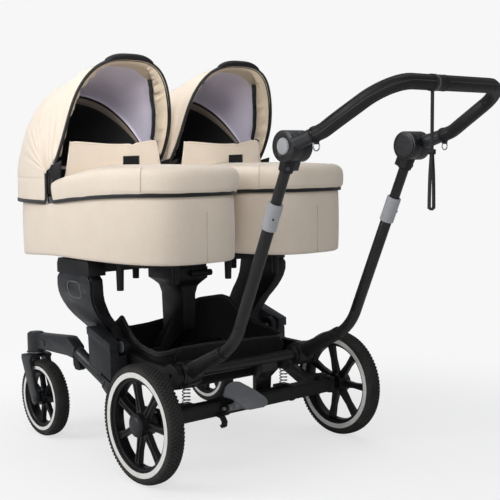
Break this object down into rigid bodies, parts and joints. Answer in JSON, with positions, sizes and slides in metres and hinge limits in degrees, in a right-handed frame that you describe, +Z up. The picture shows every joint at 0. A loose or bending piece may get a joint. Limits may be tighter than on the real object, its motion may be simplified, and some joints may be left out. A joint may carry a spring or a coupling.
{
  "type": "twin pram",
  "caption": "Side-by-side twin pram: two beige carrycots with hoods on a black folding chassis with swivel front wheels and a tilting handlebar.",
  "frame": {"origin": "on the floor under the middle of the pram's bounding box", "axes": "+Y is the direction of travel, +X is the pram's right, +Z is up"},
  "size_m": [0.779, 1.4575, 1.1191],
  "materials": {
    "tyre": "black rubber with a white sidewall ring and fine tread",
    "rim": "black moulded",
    "cap": "dark grey moulded",
    "fork": "dark grey powder coat",
    "axle": "black powder coat",
    "spring": "bright",
    "pedal": "mid grey moulded",
    "bolt": "plain",
    "frame": "black moulded",
    "frame_metal": "black powder coat",
    "cover": "grey moulded",
    "block": "grey moulded",
    "basket": "black woven cloth",
    "button": "grey moulded",
    "tube": "black anodised",
    "sleeve": "light grey moulded",
    "bar": "black powder coat",
    "leather": "black stitched cover",
    "strap": "black webbing",
    "cot_base": "black moulded",
    "beige": "beige woven cloth with black piping",
    "mattress": "pale cloth",
    "bow": "black moulded"
  },
  "bodies": {
    "chassis": {"cross_tube": "frame_metal", "side_frame_left": "frame", "side_frame_right": "frame", "side_cover_left": "cover", "side_cover_right": "cover", "hinge_block_left": "block", "hinge_block_right": "block", "lower_rail_left": "frame_metal", "lower_rail_right": "frame_metal", "front_arm_left": "frame_metal", "front_arm_right": "frame_metal", "centre_upright": "frame", "basket": "basket"},
    "axle": {"rear_axle": "axle", "rear_springs": "spring"},
    "brake_pedal": {"brake_pedal": "pedal"},
    "handle": {"handle_lower_left": "tube", "handle_lower_right": "tube", "sleeve_left": "sleeve", "sleeve_right": "sleeve"},
    "handle_slide": {"handle_upper_left": "tube", "handle_upper_right": "tube"},
    "handlebar": {"handlebar": "bar", "grip_cover": "leather", "wrist_strap": "strap"},
    "brake_bolt_left": {"brake_bolt_left": "bolt"},
    "rear_wheel_left": {"rear_rim_left": "rim", "rear_tyre_left": "tyre", "hub_cap_left": "cap"},
    "fork_left": {"fork_left": "fork"},
    "front_wheel_left": {"front_rim_left": "rim", "front_tyre_left": "tyre"},
    "fold_button_left": {"fold_button_left": "button"},
    "extend_button_left": {"extend_button_left": "cap"},
    "tilt_button_left": {"tilt_button_left": "button"},
    "d_ring_left": {"d_ring_left": "bolt"},
    "cot_left": {"cot_base_left": "cot_base", "cot_tub_left": "beige", "mattress_left": "mattress", "apron_left": "beige", "hood_left": "beige"},
    "hood_bow_left": {"hood_bow_left": "bow"},
    "brake_bolt_right": {"brake_bolt_right": "bolt"},
    "rear_wheel_right": {"rear_rim_right": "rim", "rear_tyre_right": "tyre", "hub_cap_right": "cap"},
    "fork_right": {"fork_right": "fork"},
    "front_wheel_right": {"front_rim_right": "rim", "front_tyre_right": "tyre"},
    "fold_button_right": {"fold_button_right": "button"},
    "extend_button_right": {"extend_button_right": "cap"},
    "tilt_button_right": {"tilt_button_right": "button"},
    "d_ring_right": {"d_ring_right": "bolt"},
    "cot_right": {"cot_base_right": "cot_base", "cot_tub_right": "beige", "mattress_right": "mattress", "apron_right": "beige", "hood_right": "beige"},
    "hood_bow_right": {"hood_bow_right": "bow"}
  },
  "joints": [
    {"name": "suspension", "type": "hinge", "parent": "chassis", "child": "axle", "pos_m": [0, 0.17875, 0.20148], "axis": [-1, 0, 0], "range_deg": [0, 3], "stiffness_Nm_per_rad": 900, "springref_deg": -20.05, "deforming": ["rear_springs"]},
    {"name": "brake_press", "type": "hinge", "parent": "axle", "child": "brake_pedal", "pos_m": [0, -0.05625, 0.16], "axis": [1, 0, 0], "range_deg": [0, 20]},
    {"name": "brake_lock_left", "type": "slide", "parent": "axle", "child": "brake_bolt_left", "axis": [-1, 0, 0], "range_m": [0, 0.0091]},
    {"name": "brake_lock_right", "type": "slide", "parent": "axle", "child": "brake_bolt_right", "axis": [1, 0, 0], "range_m": [0, 0.0091]},
    {"name": "handle_fold", "type": "hinge", "parent": "chassis", "child": "handle", "pos_m": [0, -0.01125, 0.262], "axis": [-1, 0, 0], "range_deg": [0, 100]},
    {"name": "handle_extend", "type": "slide", "parent": "handle", "child": "handle_slide", "axis": [0, -0.4003, 0.9164], "range_m": [-0.08, 0.05]},
    {"name": "handle_tilt", "type": "hinge", "parent": "handle_slide", "child": "handlebar", "pos_m": [0, -0.42525, 0.853], "axis": [1, 0, 0], "range_deg": [-60, 45]},
    {"name": "rear_wheel_spin_left", "type": "hinge", "parent": "axle", "child": "rear_wheel_left", "pos_m": [-0.351, -0.02125, 0.155], "axis": [1, 0, 0], "continuous": true},
    {"name": "caster_swivel_left", "type": "hinge", "parent": "chassis", "child": "fork_left", "pos_m": [-0.312, 0.59675, 0.27], "axis": [0, 0, 1], "continuous": true},
    {"name": "front_wheel_spin_left", "type": "hinge", "parent": "fork_left", "child": "front_wheel_left", "pos_m": [-0.312, 0.55075, 0.115], "axis": [1, 0, 0], "continuous": true},
    {"name": "fold_release_left", "type": "slide", "parent": "chassis", "child": "fold_button_left", "axis": [1, 0, 0], "range_m": [0, 0.003], "stiffness_N_per_m": 400, "springref_m": -0.004},
    {"name": "extend_release_left", "type": "slide", "parent": "handle", "child": "extend_button_left", "axis": [0, 0.9164, 0.4003], "range_m": [0, 0.0018], "stiffness_N_per_m": 400, "springref_m": -0.004},
    {"name": "tilt_release_left", "type": "slide", "parent": "handlebar", "child": "tilt_button_left", "axis": [1, 0, 0], "range_m": [0, 0.004], "stiffness_N_per_m": 400, "springref_m": -0.004},
    {"name": "d_ring_swing_left", "type": "hinge", "parent": "handlebar", "child": "d_ring_left", "pos_m": [-0.22, -0.51725, 0.861], "axis": [1, 0, 0], "range_deg": [-50, 50]},
    {"name": "cot_lift_left", "type": "slide", "parent": "chassis", "child": "cot_left", "axis": [0, 0, 1], "range_m": [0, 1.95]},
    {"name": "hood_fold_left", "type": "hinge", "parent": "cot_left", "child": "hood_bow_left", "pos_m": [-0.195, 0.38275, 0.789], "axis": [-1, 0, 0], "range_deg": [0, 70], "deforming": ["hood_left"]},
    {"name": "rear_wheel_spin_right", "type": "hinge", "parent": "axle", "child": "rear_wheel_right", "pos_m": [0.351, -0.02125, 0.155], "axis": [1, 0, 0], "continuous": true},
    {"name": "caster_swivel_right", "type": "hinge", "parent": "chassis", "child": "fork_right", "pos_m": [0.312, 0.59675, 0.27], "axis": [0, 0, 1], "continuous": true},
    {"name": "front_wheel_spin_right", "type": "hinge", "parent": "fork_right", "child": "front_wheel_right", "pos_m": [0.312, 0.55075, 0.115], "axis": [1, 0, 0], "continuous": true},
    {"name": "fold_release_right", "type": "slide", "parent": "chassis", "child": "fold_button_right", "axis": [-1, 0, 0], "range_m": [0, 0.003], "stiffness_N_per_m": 400, "springref_m": -0.004},
    {"name": "extend_release_right", "type": "slide", "parent": "handle", "child": "extend_button_right", "axis": [0, 0.9164, 0.4003], "range_m": [0, 0.0018], "stiffness_N_per_m": 400, "springref_m": -0.004},
    {"name": "tilt_release_right", "type": "slide", "parent": "handlebar", "child": "tilt_button_right", "axis": [-1, 0, 0], "range_m": [0, 0.004], "stiffness_N_per_m": 400, "springref_m": -0.004},
    {"name": "d_ring_swing_right", "type": "hinge", "parent": "handlebar", "child": "d_ring_right", "pos_m": [0.22, -0.51725, 0.861], "axis": [1, 0, 0], "range_deg": [-50, 50]},
    {"name": "cot_lift_right", "type": "slide", "parent": "chassis", "child": "cot_right", "axis": [0, 0, 1], "range_m": [0, 1.95]},
    {"name": "hood_fold_right", "type": "hinge", "parent": "cot_right", "child": "hood_bow_right", "pos_m": [0.195, 0.38275, 0.789], "axis": [-1, 0, 0], "range_deg": [0, 70], "deforming": ["hood_right"]}
  ],
  "couplings": [
    {"joint": "brake_lock_left", "follows": "brake_press", "m_per_rad": 0.026},
    {"joint": "brake_lock_right", "follows": "brake_press", "m_per_rad": 0.026},
    {"joint": "cot_lift_left", "follows": "handle_fold", "m_per_rad": 1.1},
    {"joint": "cot_lift_right", "follows": "handle_fold", "m_per_rad": 1.1}
  ]
}
